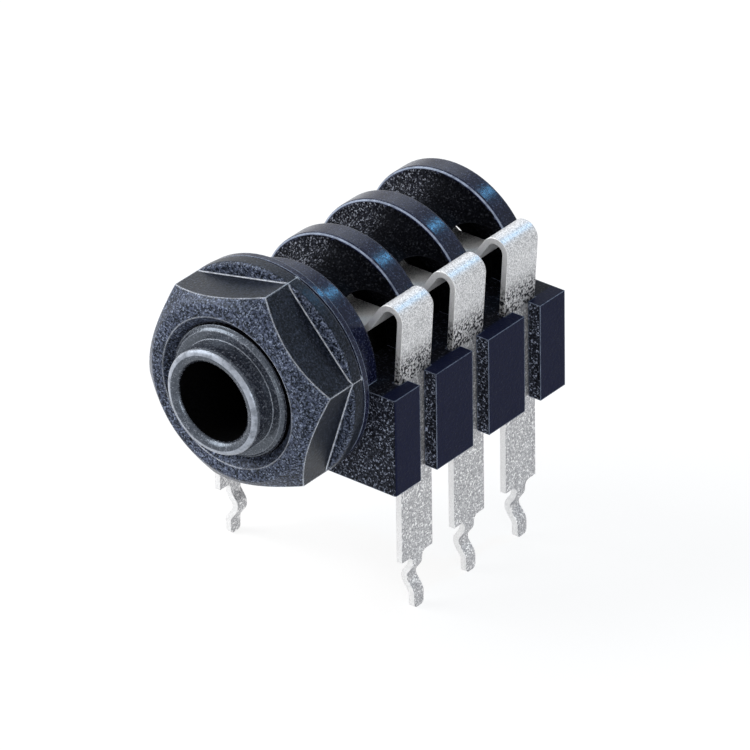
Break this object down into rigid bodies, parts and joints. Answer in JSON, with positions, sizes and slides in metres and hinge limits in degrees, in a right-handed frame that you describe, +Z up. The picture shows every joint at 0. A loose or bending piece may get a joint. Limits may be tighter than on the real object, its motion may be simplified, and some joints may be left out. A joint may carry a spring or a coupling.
{
  "type": "audio jack socket",
  "caption": "Panel and board socket for a quarter-inch audio plug: ribbed barrel on a slotted base, flanged hexagon nut, and bent strip contacts with solder tails.",
  "frame": {"origin": "on the plug axis, in the plane where the housing's shoulder meets the panel", "axes": "+Y is the way the plug goes in, +X is right seen from the front, +Z is up, away from the board"},
  "size_m": [0.0206, 0.0296, 0.0294],
  "materials": {
    "housing_plastic": "glass-filled, fine speckle",
    "nut_plastic": "glass-filled, smoother than the housing",
    "contact_metal": "bright plated strip, grain along the bends"
  },
  "bodies": {
    "socket": {"housing": "housing_plastic", "sleeve_spring": "contact_metal", "ring_spring": "contact_metal", "tip_spring": "contact_metal", "break_contact": "contact_metal"},
    "nut": {"panel_nut": "nut_plastic"}
  },
  "joints": [
    {"name": "nut_turn", "type": "hinge", "parent": "socket", "child": "nut", "pos_m": [0, 0, 0], "axis": [0, 1, 0], "continuous": true}
  ]
}
